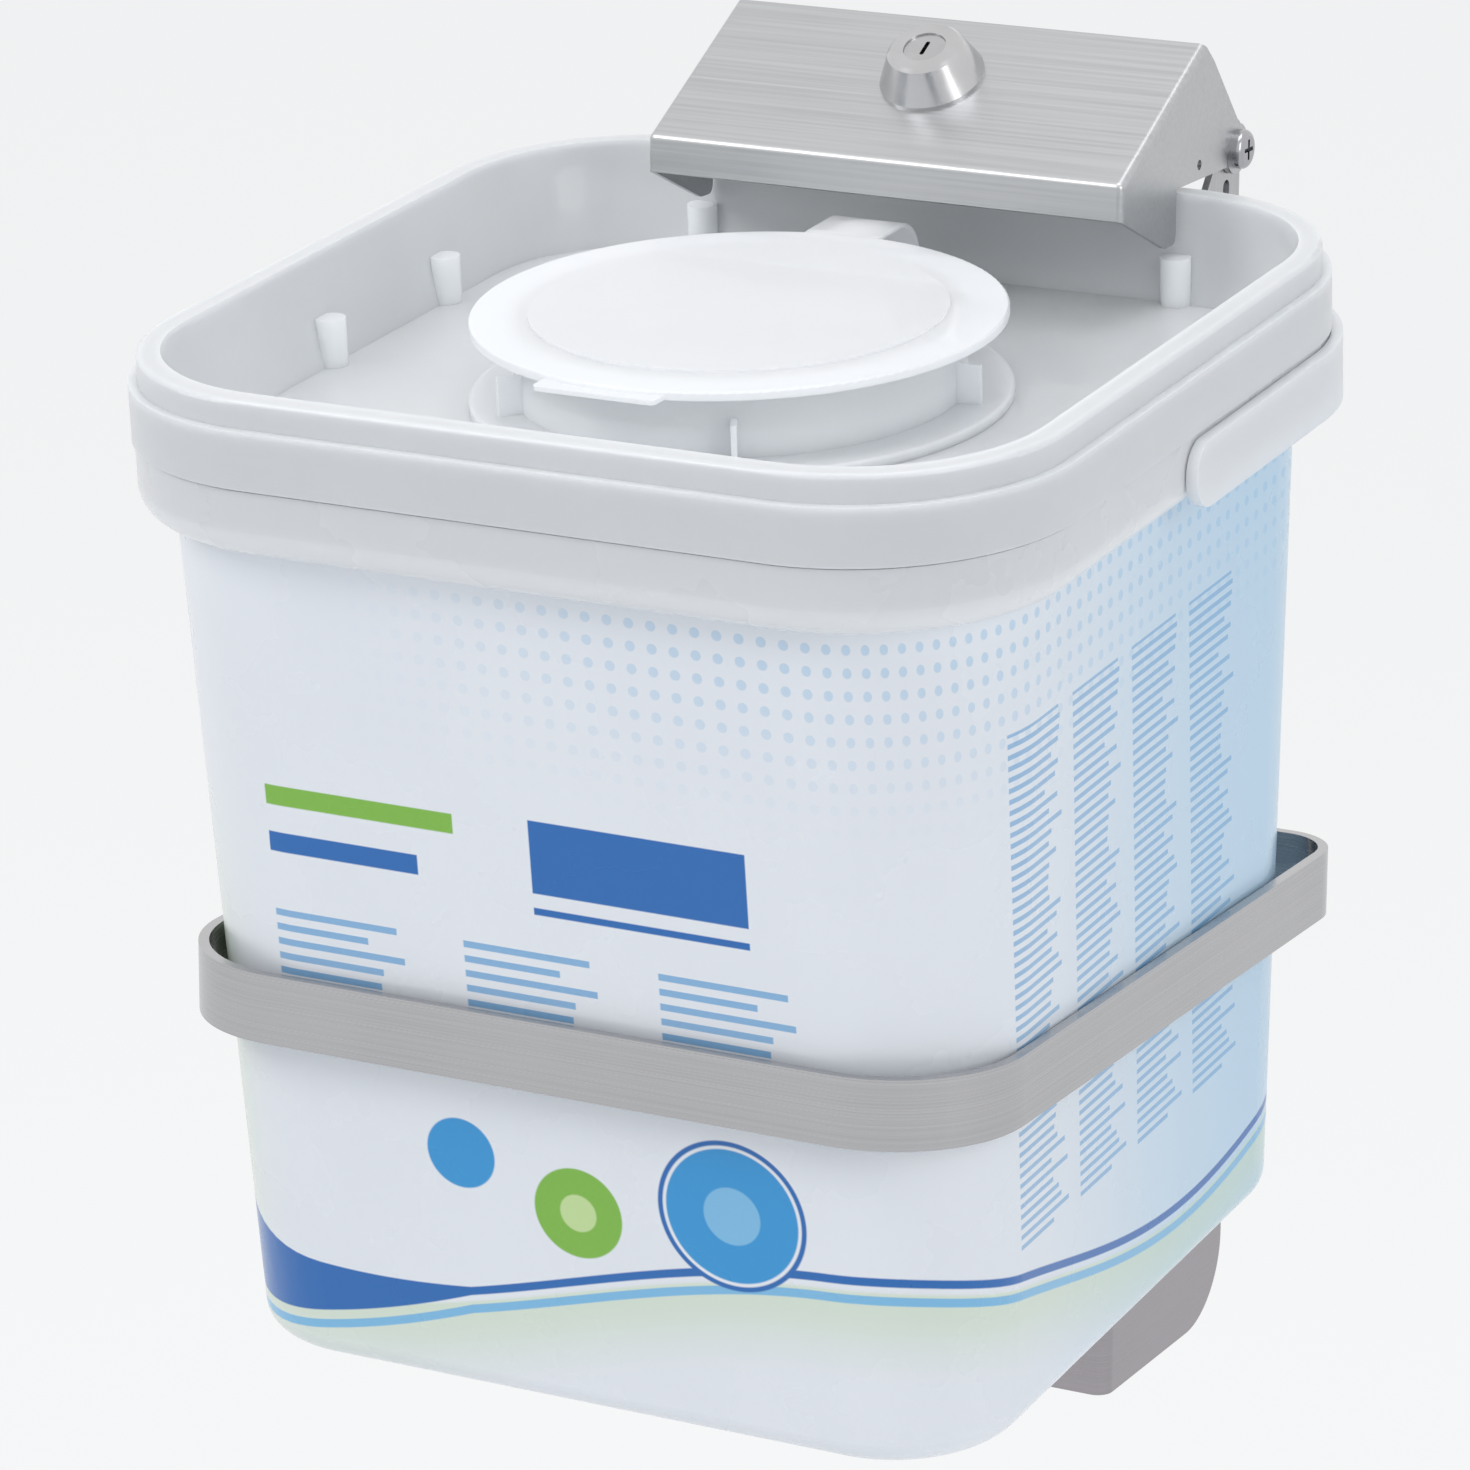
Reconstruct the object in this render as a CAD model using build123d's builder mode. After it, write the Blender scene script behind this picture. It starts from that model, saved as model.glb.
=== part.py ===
from build123d import *
import os
from math import atan2, cos, radians, sin, tan

# Wall-mounted wipes holder: a lockable sheet-steel wall bracket that holds a square
# plastic bucket of wet wipes. Millimetres, +Z up, the wall behind at Y = 0, the user
# in front at -Y. The origin is the middle of the four wall holes, on the wall face.

os.makedirs("parts", exist_ok=True)

# Driving sizes of the wall bracket
SHEET = 2.0
BRACKET_WIDTH = 148.0
BRACKET_DEPTH = 31.0
BRACKET_BOTTOM = -160.0
WEB_BELOW_HINGE = 23.0
BEND_RADIUS = 3.0
WALL_HOLE_RADIUS = 3.25
WALL_HOLE_SPACING_X = 100.0
WALL_HOLE_SPACING_Z = 220.0
EAR_RADIUS = 9.0
EAR_SHOULDER_DROP = 17.0
EAR_SLOT_WIDTH = 4.5
EAR_SLOT_LENGTH = 44.0
EAR_SLOT_DROP = 9.0
EAR_SLOT_Y = -12.0

# Ring band round the bucket, with the free space it leaves to the bucket
RING_HEIGHT = 20.0
RING_THICKNESS = 3.0
RING_TOP = -25.0
RING_SIDE_GAP = 1.3
RING_FRONT_GAP = 5.2
RING_FRONT_RADIUS = 39.0
RING_REAR_RADIUS = 17.0

# Lower support and its shelf plate
SUPPORT_DEPTH = 84.0
SUPPORT_HEIGHT = 58.0
SUPPORT_FRONT_RADIUS = 5.0
SUPPORT_REAR_RADIUS = 25.0
SHELF_EDGE_GAP = 1.0

# Bucket, measured in its own leaning frame from the middle of its base
BUCKET_TILT = 5.0
BUCKET_Z = -134.5
BUCKET_WALL = 1.8
BASE_SIZE = 234.0
BASE_CORNER = 36.0
BASE_FILLET = 7.0
BODY_TOP_SIZE = 257.0
BODY_TOP_CORNER = 50.0
BODY_HEIGHT = 246.0
COLLAR_STEP = 10.0
COLLAR_HEIGHT = 20.0
COLLAR_FILLET = 8.5
MOUTH_HEIGHT = 20.0

# Lid tray that closes the bucket; its rim is a channel turned over the mouth wall
LID_WALL = 1.8
LID_SKIRT_OVERHANG = 0.8
LID_SKIRT_GAP = 0.6
LID_BEAD_STEP = 2.6
LID_BEAD_HEIGHT = 8.0
LID_MOUTH_GAP = 0.4
LID_EDGE_FILLET = 1.5
SEAL_THICKNESS = 3.2
TRAY_DEPTH = 31.0
TRAY_RIM_WIDTH = 6.7
TRAY_DRAFT = 7.0
LUG_RADIUS = 4.5
LUG_HEIGHT = 14.0
LUG_SIDE_Y = (-16.0, 49.0)
LUG_REAR_X = (-77.0, 77.0)

# Dispensing neck, cap and the wipes inside
NECK_RADIUS = 63.0
NECK_WALL = 2.2
NECK_HEIGHT = 22.6
SPIGOT_RADIUS = 58.5
SPIGOT_WALL = 2.0
SPIGOT_DEPTH = 8.0
NECK_RIBS = 5
NECK_RIB_THICKNESS = 1.6
NECK_RIB_WIDTH = 7.0
FIRST_RIB_ANGLE = -64.0
MEMBRANE_LEDGE = 11.0
MEMBRANE_THICKNESS = 1.5
MEMBRANE_HOLE_RADIUS = 4.0
MEMBRANE_SLITS = 4
MEMBRANE_SLIT_LENGTH = 44.0
MEMBRANE_SLIT_WIDTH = 0.8
FLANGE_RADIUS = 76.0
FLANGE_THICKNESS = 3.0
CAP_RADIUS = 75.0
CAP_THICKNESS = 2.6
CAP_GAP = 0.4
CAP_RAISED_RADIUS = 58.5
CAP_RAISED_HEIGHT = 0.8
CAP_PLUG_DEPTH = 6.0
CAP_PLUG_WALL = 1.5
TAB_LEFT = -22.0
TAB_RIGHT = 15.5
TAB_REACH = 4.0
STRAP_LEFT = -18.0
STRAP_RIGHT = 5.0
STRAP_THICKNESS = 1.4
STRAP_FLAT = 16.0
ROLL_RADIUS = 74.0
ROLL_CORE_RADIUS = 22.0
ROLL_HEIGHT = 195.0
TAIL_THICKNESS = 1.0

# Bail handle folded back round the collar
HANDLE_THICKNESS = 3.3
HANDLE_HEIGHT = 19.0
HANDLE_GAP = 0.5
HANDLE_DROP = 0.5
HANDLE_PIN_RADIUS = 4.0
HANDLE_BRACKET_GAP = 1.7

# Locking flap, placed from its hinge and from the bucket's rear rim
FLAP_SHEET = 1.5
FLAP_SIDE_GAP = 0.5
FLAP_BEND = 2.0
FLAP_RIM_GAP = 1.2
HINGE_Y = -9.0
HINGE_ABOVE_RIM = 5.5
HINGE_SCREW_RADIUS = 3.0
HINGE_BOSS_RADIUS = 7.5
FINGER_RIM_GAP = 3.5
FINGER_LENGTH = 16.0
FINGER_TIP_WIDTH = 7.5
FINGER_TIP_RADIUS = 2.5
LIP_REACH = 38.0
LIP_DROP = 7.0
LIP_HEIGHT = 10.5
PANEL_REAR_Y = -34.5
PANEL_RISE = 35.0
CHEEK_REAR_STEP = 7.0
CHEEK_REAR_DROP = 6.0
CHEEK_HOLE_RADIUS = 1.5
CHEEK_HOLE_Y = -36.5

# Cam lock on the flap and the keeper its cam swings under
LOCK_FROM_LIP = 38.0
LOCK_BASE_RADIUS = 15.5
LOCK_TOP_RADIUS = 10.3
LOCK_CONE_HEIGHT = 11.3
LOCK_BASE_RIM = 1.0
LOCK_BARREL_RADIUS = 9.4
LOCK_BARREL_LENGTH = 20.0
LOCK_NUT_ACROSS_FLATS = 23.0
LOCK_NUT_HEIGHT = 4.0
PLUG_RADIUS = 6.3
PLUG_CORE_RADIUS = 5.4
PLUG_SEAT_DEPTH = 1.6
PLUG_HEAD_HEIGHT = 1.0
KEY_SLOT_LENGTH = 6.0
KEY_SLOT_WIDTH = 1.3
KEY_SLOT_DEPTH = 8.0
CAM_THICKNESS = 2.5
CAM_WIDTH = 10.0
CAM_REACH = 28.0
CAM_SQUARE = 6.0
CAM_SCREW_RADIUS = 2.0
CAM_SCREW_LENGTH = 9.0
CAM_SCREW_HEAD_RADIUS = 4.5
CAM_SCREW_HEAD_HEIGHT = 2.2
KEEPER_X = 15.0
KEEPER_GAP = 1.2
KEEPER_DEPTH = 7.0
KEEPER_FOOT_WIDTH = 16.0
KEEPER_FOOT_HEIGHT = 26.0

# Hinge hardware, the same on both sides
SCREW_HEAD_RADIUS = 5.8
SCREW_HEAD_HEIGHT = 3.6
SCREW_END = 1.5
RECESS_DEPTH = 1.8
RECESS_WIDTH = 1.2
RECESS_LENGTH = 6.0
HINGE_NUT_ACROSS_FLATS = 10.0
HINGE_NUT_HEIGHT = 5.0

# Clearances
RUNNING_FIT = 0.05
LOOSE_FIT = 0.3

# Heights and widths that follow from the bucket
collar_bottom = BODY_HEIGHT
collar_top = collar_bottom + COLLAR_HEIGHT
collar_size = BODY_TOP_SIZE + 2 * COLLAR_STEP
collar_corner = BODY_TOP_CORNER + COLLAR_STEP
mouth_top = collar_top + MOUTH_HEIGHT
lid_top = mouth_top + SEAL_THICKNESS + LID_WALL
lid_step = lid_top - LID_BEAD_HEIGHT
skirt_size = collar_size + 2 * LID_SKIRT_OVERHANG
skirt_bottom = collar_top + LID_SKIRT_GAP
bead_size = skirt_size - 2 * LID_BEAD_STEP
mouth_size = bead_size - 2 * LID_WALL - 2 * LID_MOUTH_GAP
mouth_inside = mouth_size - 2 * BUCKET_WALL
tray_mouth_size = bead_size - 2 * TRAY_RIM_WIDTH
tray_floor_size = tray_mouth_size - 2 * TRAY_DRAFT
tray_floor = lid_top - TRAY_DEPTH
flange_top = tray_floor + FLANGE_THICKNESS
neck_top = tray_floor + NECK_HEIGHT
neck_bore = NECK_RADIUS - NECK_WALL
membrane_bottom = tray_floor + MEMBRANE_LEDGE
cap_bottom = neck_top + CAP_GAP
handle_level = collar_bottom + COLLAR_HEIGHT / 2 - HANDLE_DROP
handle_inside = collar_size + 2 * HANDLE_GAP
handle_outside = handle_inside + 2 * HANDLE_THICKNESS

# The bucket leans forward and stands as close to the bracket as its handle allows
tilt_sin = sin(radians(BUCKET_TILT))
tilt_cos = cos(radians(BUCKET_TILT))
handle_rear_y = tilt_cos * handle_outside / 2 - tilt_sin * (handle_level - HANDLE_HEIGHT / 2)
bucket_y = -BRACKET_DEPTH - HANDLE_BRACKET_GAP - handle_rear_y
bucket_plane = Plane(origin=(0, bucket_y, BUCKET_Z), x_dir=(1, 0, 0), z_dir=(0, -tilt_sin, tilt_cos))
bucket_across = Plane(origin=bucket_plane.origin, x_dir=(1, 0, 0), z_dir=-bucket_plane.y_dir)
bucket_along = Plane(origin=bucket_plane.origin, x_dir=bucket_plane.y_dir, z_dir=(1, 0, 0))
bucket_axis = Axis(bucket_plane.origin, bucket_plane.z_dir)

# Hinge, flap and bracket heights that follow from the bucket's rear rim
rim_rear_z = BUCKET_Z + tilt_sin * bead_size / 2 + tilt_cos * lid_top
tray_rear_y = bucket_y + tilt_cos * tray_mouth_size / 2 - tilt_sin * lid_top
hinge_z = rim_rear_z + HINGE_ABOVE_RIM
web_top = hinge_z - WEB_BELOW_HINGE
notch_z = rim_rear_z + FLAP_RIM_GAP
finger_y = tray_rear_y - FINGER_RIM_GAP
finger_tip_z = notch_z - FINGER_LENGTH
lip_y = finger_y - LIP_REACH
lip_bottom = hinge_z - LIP_DROP
lip_top = lip_bottom + LIP_HEIGHT
panel_rear_z = hinge_z + PANEL_RISE
ear_outside = BRACKET_WIDTH / 2
cheek_inside = ear_outside + FLAP_SIDE_GAP
cheek_outside = cheek_inside + FLAP_SHEET
hinge_planes = [
    Plane(origin=(0, HINGE_Y, hinge_z), x_dir=(0, 1, 0), z_dir=(side, 0, 0)) for side in (1, -1)
]

# The lock stands square on the slanted panel of the flap
panel_angle = atan2(panel_rear_z - lip_top, PANEL_REAR_Y - lip_y)
lock_y = lip_y + LOCK_FROM_LIP * cos(panel_angle)
lock_z = lip_top + LOCK_FROM_LIP * sin(panel_angle)
lock_plane = Plane(
    origin=(0, lock_y, lock_z), x_dir=(1, 0, 0), z_dir=(0, -sin(panel_angle), cos(panel_angle))
)
lock_across = Plane(origin=lock_plane.origin, x_dir=(1, 0, 0), z_dir=-lock_plane.y_dir)
lock_axis = Axis(lock_plane.origin, lock_plane.z_dir)


def level(height):
    """Plane across the bucket, this far above the outside of its base."""
    return bucket_plane.offset(height)


def bucket_width_at(height):
    """Outside width of the tapered body at a height above the base."""
    return BASE_SIZE + (BODY_TOP_SIZE - BASE_SIZE) * height / BODY_HEIGHT


def bucket_corner_at(height):
    """Outside corner radius of the tapered body at a height above the base."""
    return BASE_CORNER + (BODY_TOP_CORNER - BASE_CORNER) * height / BODY_HEIGHT


def corner_for(size):
    """Corner radius of an upright outline of this size, parallel to the collar's."""
    return collar_corner - (collar_size - size) / 2


def rim_prism(size, bottom, top, mode=Mode.ADD):
    """Upright square block with rounded corners, in the bucket's frame."""
    with BuildSketch(level(bottom)) as outline:
        RectangleRounded(size, size, corner_for(size))
    extrude(outline.sketch, amount=top - bottom, mode=mode)


def tapered_body(inset, bottom, top):
    """The body's taper between two heights, drawn in from the outside by the inset."""
    outlines = []
    for height in (bottom, top):
        size = bucket_width_at(height) - 2 * inset
        with BuildSketch(level(height)) as outline:
            RectangleRounded(size, size, bucket_corner_at(height) - inset)
        outlines.append(outline.sketch)
    loft(outlines)


def tray_block(grow, bottom, top, mode=Mode.ADD):
    """The tray's drafted recess between two heights, widened all round by grow."""
    outlines = []
    for height in (bottom, top):
        drawn_in = 2 * TRAY_DRAFT * (lid_top - height) / TRAY_DEPTH
        size = tray_mouth_size - drawn_in + 2 * grow
        with BuildSketch(level(height)) as outline:
            RectangleRounded(size, size, corner_for(size))
        outlines.append(outline.sketch)
    loft(outlines, mode=mode)


def disc(plane, radius, thickness, mode=Mode.ADD):
    """Round plate that starts on a plane and rises by its thickness."""
    with BuildSketch(plane) as outline:
        Circle(radius)
    extrude(outline.sketch, amount=thickness, mode=mode)


def save(part, label):
    """Label a finished piece and write it under its own name."""
    part.label = label
    export_step(part, f"parts/{label}.step")


# Wall bracket: a channel with its web on the wall and its two flanges forward,
# which rise into the hinge ears
ear_top = hinge_z + EAR_RADIUS
with BuildPart() as wall_bracket:
    with BuildSketch(Plane.XY.offset(BRACKET_BOTTOM)) as channel:
        with Locations((0, -BRACKET_DEPTH / 2)):
            Rectangle(BRACKET_WIDTH, BRACKET_DEPTH)
        fillet(channel.vertices().group_by(Axis.Y)[-1], BEND_RADIUS)
        with Locations((0, -SHEET - BRACKET_DEPTH / 2)):
            Rectangle(BRACKET_WIDTH - 2 * SHEET, BRACKET_DEPTH, mode=Mode.SUBTRACT)
    extrude(amount=ear_top - BRACKET_BOTTOM)
    with BuildSketch(Plane.YZ):
        with BuildLine():
            Polyline(
                (0, BRACKET_BOTTOM),
                (-BRACKET_DEPTH, BRACKET_BOTTOM),
                (-BRACKET_DEPTH, hinge_z - EAR_SHOULDER_DROP),
                (HINGE_Y - EAR_RADIUS, hinge_z),
                (0, hinge_z),
                close=True,
            )
        make_face()
        with Locations((HINGE_Y, hinge_z)):
            Circle(EAR_RADIUS)
    extrude(amount=BRACKET_WIDTH, both=True, mode=Mode.INTERSECT)
    with BuildSketch(Plane.XZ.offset(BRACKET_DEPTH)):
        with Locations((0, (web_top + ear_top) / 2)):
            Rectangle(BRACKET_WIDTH - 2 * SHEET, ear_top - web_top)
    extrude(amount=-2 * BRACKET_DEPTH, mode=Mode.SUBTRACT)
    with BuildSketch(Plane.XZ):
        with GridLocations(WALL_HOLE_SPACING_X, WALL_HOLE_SPACING_Z, 2, 2):
            Circle(WALL_HOLE_RADIUS)
    extrude(amount=2 * SHEET, both=True, mode=Mode.SUBTRACT)
    with BuildSketch(Plane.YZ):
        with Locations((HINGE_Y, hinge_z)):
            Circle(HINGE_SCREW_RADIUS + RUNNING_FIT)
        with Locations((EAR_SLOT_Y, hinge_z - EAR_SLOT_DROP - EAR_SLOT_LENGTH / 2)):
            SlotOverall(EAR_SLOT_LENGTH, EAR_SLOT_WIDTH, rotation=90)
    extrude(amount=BRACKET_WIDTH, both=True, mode=Mode.SUBTRACT)
save(wall_bracket.part, "wall_bracket")

# Ring band: one flat bar bent round the bucket and welded to the channel's flanges
ring_middle = RING_TOP - RING_HEIGHT / 2
ring_level = (ring_middle - BUCKET_Z) / tilt_cos
ring_bucket_width = bucket_width_at(ring_level)
ring_width = ring_bucket_width + 2 * RING_SIDE_GAP + 2 * RING_THICKNESS
ring_bucket_y = bucket_y - ring_level * tilt_sin
ring_front_y = ring_bucket_y - ring_bucket_width / 2 - RING_FRONT_GAP - RING_THICKNESS
ring_depth = -BRACKET_DEPTH - ring_front_y
with BuildPart() as ring_band:
    with BuildSketch(Plane.XY.offset(RING_TOP - RING_HEIGHT)) as ring_outline:
        with Locations((0, -BRACKET_DEPTH - ring_depth / 2)):
            Rectangle(ring_width, ring_depth)
        fillet(ring_outline.vertices().group_by(Axis.Y)[0], RING_FRONT_RADIUS)
        fillet(ring_outline.vertices().group_by(Axis.Y)[-1], RING_REAR_RADIUS)
        offset(amount=-RING_THICKNESS, mode=Mode.SUBTRACT)
    extrude(amount=RING_HEIGHT)
save(ring_band.part, "ring_band")

# Lower support: a strip bent to a U, lapped outside the channel, cut parallel to the
# leaning base, with its lower rear corners rounded off
support_bottom = BUCKET_Z - SUPPORT_HEIGHT
support_rise = SUPPORT_HEIGHT + SUPPORT_DEPTH
with BuildPart() as support_band:
    with BuildSketch(Plane.XY.offset(support_bottom)) as support_outline:
        with Locations((0, -SUPPORT_DEPTH / 2)):
            Rectangle(BRACKET_WIDTH + 2 * SHEET, SUPPORT_DEPTH)
        fillet(support_outline.vertices().group_by(Axis.Y)[0], SUPPORT_FRONT_RADIUS)
    extrude(amount=support_rise)
    with BuildSketch(Plane.XY.offset(support_bottom)) as support_hollow:
        with Locations((0, -SUPPORT_DEPTH / 2 + SHEET)):
            Rectangle(BRACKET_WIDTH, SUPPORT_DEPTH)
        fillet(support_hollow.vertices().group_by(Axis.Y)[0], SUPPORT_FRONT_RADIUS - SHEET)
    extrude(amount=support_rise, mode=Mode.SUBTRACT)
    lower_rear = support_band.edges().filter_by(Axis.X).group_by(Axis.Z)[0].group_by(Axis.Y)[-1]
    fillet(lower_rear, SUPPORT_REAR_RADIUS)
    split(bisect_by=level(-SHEET), keep=Keep.BOTTOM)
save(support_band.part, "support_band")

# Shelf plate that closes the top of the lower support and carries the bucket's base;
# its narrow rear part reaches between the channel's flanges
shelf_front = (-SUPPORT_DEPTH - bucket_y) / tilt_cos
shelf_step = (-BRACKET_DEPTH - SHELF_EDGE_GAP - bucket_y) / tilt_cos
shelf_rear = (-SHEET - SHELF_EDGE_GAP - bucket_y) / tilt_cos
shelf_tongue = BRACKET_WIDTH - 2 * SHEET - 2 * SHELF_EDGE_GAP
with BuildPart() as shelf_plate:
    with BuildSketch(level(-SHEET)) as shelf_outline:
        with Locations((0, (shelf_front + shelf_step) / 2)):
            Rectangle(BRACKET_WIDTH + 2 * SHEET, shelf_step - shelf_front)
        with Locations((0, (shelf_front + shelf_rear) / 2)):
            Rectangle(shelf_tongue, shelf_rear - shelf_front)
        fillet(shelf_outline.vertices().group_by(Axis.Y)[0], SUPPORT_FRONT_RADIUS)
    extrude(amount=SHEET)
save(shelf_plate.part, "shelf_plate")

# Keeper: an arm on the web, hooked forward over the locked position of the cam
cam_middle = LOCK_BARREL_LENGTH + CAM_THICKNESS / 2
cam_y = lock_y + cam_middle * sin(panel_angle)
cam_z = lock_z - cam_middle * cos(panel_angle)
keeper_lift = CAM_THICKNESS / 2 + KEEPER_GAP
keeper_foot_bottom = web_top - 2 * KEEPER_FOOT_WIDTH


def on_cam_plane(ahead, lift):
    """Side-view point this far ahead of the lock axis and lifted off the cam's middle."""
    return (cam_y - ahead, cam_z - ahead * tan(panel_angle) + lift / cos(panel_angle))


with BuildPart() as lock_keeper:
    with BuildSketch(Plane.YZ.offset(KEEPER_X)):
        with BuildLine():
            Polyline(
                (-SHEET, keeper_foot_bottom),
                (-2 * SHEET, keeper_foot_bottom),
                (cam_y + CAM_WIDTH, cam_z - KEEPER_DEPTH),
                on_cam_plane(-CAM_WIDTH, keeper_lift),
                on_cam_plane(CAM_WIDTH / 2, keeper_lift),
                on_cam_plane(CAM_WIDTH / 2, keeper_lift + KEEPER_DEPTH),
                on_cam_plane(-CAM_WIDTH / 2, keeper_lift + KEEPER_DEPTH),
                (-SHEET, web_top),
                close=True,
            )
        make_face()
    extrude(amount=SHEET)
    with BuildSketch(Plane.XZ.offset(SHEET)):
        with Locations((KEEPER_X + KEEPER_FOOT_WIDTH / 2, keeper_foot_bottom + KEEPER_FOOT_HEIGHT / 2)):
            Rectangle(KEEPER_FOOT_WIDTH, KEEPER_FOOT_HEIGHT)
    extrude(amount=SHEET)
save(lock_keeper.part, "lock_keeper")

# Hinge screws: pan heads with a cross recess outside the cheeks, shanks to the nuts
nut_end = ear_outside - SHEET - HINGE_NUT_HEIGHT
shank_length = cheek_outside - nut_end + SCREW_END
with BuildPart() as hinge_screws:
    for side_plane in hinge_planes:
        disc(side_plane.offset(nut_end - SCREW_END), HINGE_SCREW_RADIUS, shank_length)
        disc(side_plane.offset(cheek_outside), SCREW_HEAD_RADIUS, SCREW_HEAD_HEIGHT)
    for head_end in (0, -1):
        fillet(hinge_screws.edges().group_by(Axis.X)[head_end], SCREW_HEAD_HEIGHT / 2)
    for side_plane in hinge_planes:
        with BuildSketch(side_plane.offset(cheek_outside + SCREW_HEAD_HEIGHT)):
            Rectangle(RECESS_LENGTH, RECESS_WIDTH)
            Rectangle(RECESS_WIDTH, RECESS_LENGTH)
        extrude(amount=-RECESS_DEPTH, mode=Mode.SUBTRACT)
save(hinge_screws.part, "hinge_screws")

# Hinge washers between the ears and the flap's cheeks
with BuildPart() as hinge_washers:
    for side_plane in hinge_planes:
        with BuildSketch(side_plane.offset(ear_outside)):
            Circle(HINGE_BOSS_RADIUS - LOOSE_FIT)
            Circle(HINGE_SCREW_RADIUS + RUNNING_FIT, mode=Mode.SUBTRACT)
        extrude(amount=FLAP_SIDE_GAP)
save(hinge_washers.part, "hinge_washers")

# Hinge nuts inside the ears
with BuildPart() as hinge_nuts:
    for side_plane in hinge_planes:
        with BuildSketch(side_plane.offset(nut_end)):
            RegularPolygon(HINGE_NUT_ACROSS_FLATS / 2, 6, major_radius=False)
            Circle(HINGE_SCREW_RADIUS + RUNNING_FIT, mode=Mode.SUBTRACT)
        extrude(amount=HINGE_NUT_HEIGHT)
save(hinge_nuts.part, "hinge_nuts")

# Locking flap: one folded sheet with a slanted panel, a front lip and two cheeks whose
# fingers reach down inside the bucket's rear rim
with BuildPart() as locking_flap:
    with BuildSketch(Plane.YZ) as cheek_outline:
        with BuildLine():
            Polyline(
                (lip_y, lip_bottom),
                (lip_y, lip_top),
                (PANEL_REAR_Y, panel_rear_z),
                (PANEL_REAR_Y + CHEEK_REAR_STEP, panel_rear_z - CHEEK_REAR_DROP),
                (HINGE_Y + HINGE_BOSS_RADIUS, hinge_z),
                (HINGE_Y - HINGE_BOSS_RADIUS, hinge_z),
                (HINGE_Y - HINGE_BOSS_RADIUS, notch_z),
                (finger_y, notch_z),
                (finger_y, finger_tip_z),
                (finger_y - FINGER_TIP_WIDTH, finger_tip_z),
                close=True,
            )
        make_face()
        fillet(cheek_outline.vertices().group_by(Axis.Y)[0], FINGER_TIP_RADIUS)
        with Locations((HINGE_Y, hinge_z)):
            Circle(HINGE_BOSS_RADIUS)
    extrude(amount=cheek_outside, both=True)
    panel_middle_y = (lip_y + PANEL_REAR_Y) / 2
    panel_middle_z = (lip_top + panel_rear_z) / 2
    fold_points = [(0, lip_y, lip_top)]
    for side_x in (cheek_outside, -cheek_outside):
        fold_points.append((side_x, lip_y, lip_top - LIP_HEIGHT / 2))
        fold_points.append((side_x, panel_middle_y, panel_middle_z))
    folds = [locking_flap.edges().sort_by_distance(point)[0] for point in fold_points]
    fillet(folds, FLAP_BEND)
    with BuildSketch(Plane.YZ):
        inner_lip_y = lip_y + FLAP_SHEET
        inner_lip_top = lip_top + FLAP_SHEET * tan(panel_angle) - FLAP_SHEET / cos(panel_angle)
        inner_rear_z = inner_lip_top - inner_lip_y * tan(panel_angle)
        with BuildLine():
            Polyline(
                (inner_lip_y, finger_tip_z - SHEET),
                (inner_lip_y, inner_lip_top),
                (0, inner_rear_z),
                (0, finger_tip_z - SHEET),
                close=True,
            )
        make_face()
    extrude(amount=cheek_inside, both=True, mode=Mode.SUBTRACT)
    with BuildSketch(Plane.YZ):
        with Locations((HINGE_Y, hinge_z)):
            Circle(HINGE_SCREW_RADIUS + RUNNING_FIT)
        with Locations((CHEEK_HOLE_Y, hinge_z)):
            Circle(CHEEK_HOLE_RADIUS)
    extrude(amount=2 * cheek_outside, both=True, mode=Mode.SUBTRACT)
    with BuildSketch(lock_plane):
        Circle(LOCK_BARREL_RADIUS + RUNNING_FIT)
    extrude(amount=2 * FLAP_SHEET, both=True, mode=Mode.SUBTRACT)
save(locking_flap.part, "locking_flap")

# Cam lock: conical housing with its threaded barrel through the panel
seat_height = LOCK_CONE_HEIGHT - PLUG_SEAT_DEPTH
with BuildPart() as lock_housing:
    with BuildSketch(lock_across):
        with BuildLine():
            Polyline(
                (PLUG_CORE_RADIUS + RUNNING_FIT, -LOCK_BARREL_LENGTH),
                (LOCK_BARREL_RADIUS, -LOCK_BARREL_LENGTH),
                (LOCK_BARREL_RADIUS, 0),
                (LOCK_BASE_RADIUS, 0),
                (LOCK_BASE_RADIUS, LOCK_BASE_RIM),
                (LOCK_TOP_RADIUS + LOCK_BASE_RIM, LOCK_CONE_HEIGHT - LOCK_BASE_RIM),
                (LOCK_TOP_RADIUS, LOCK_CONE_HEIGHT),
                (PLUG_RADIUS + RUNNING_FIT, LOCK_CONE_HEIGHT),
                (PLUG_RADIUS + RUNNING_FIT, seat_height),
                (PLUG_CORE_RADIUS + RUNNING_FIT, seat_height),
                close=True,
            )
        make_face()
    revolve(axis=lock_axis)
save(lock_housing.part, "lock_housing")

# Nut that clamps the housing from inside the flap
with BuildPart() as lock_nut:
    with BuildSketch(lock_plane.offset(-FLAP_SHEET - LOCK_NUT_HEIGHT)):
        RegularPolygon(LOCK_NUT_ACROSS_FLATS / 2, 6, major_radius=False)
        Circle(LOCK_BARREL_RADIUS + RUNNING_FIT, mode=Mode.SUBTRACT)
    extrude(amount=LOCK_NUT_HEIGHT)
save(lock_nut.part, "lock_nut")

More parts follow.
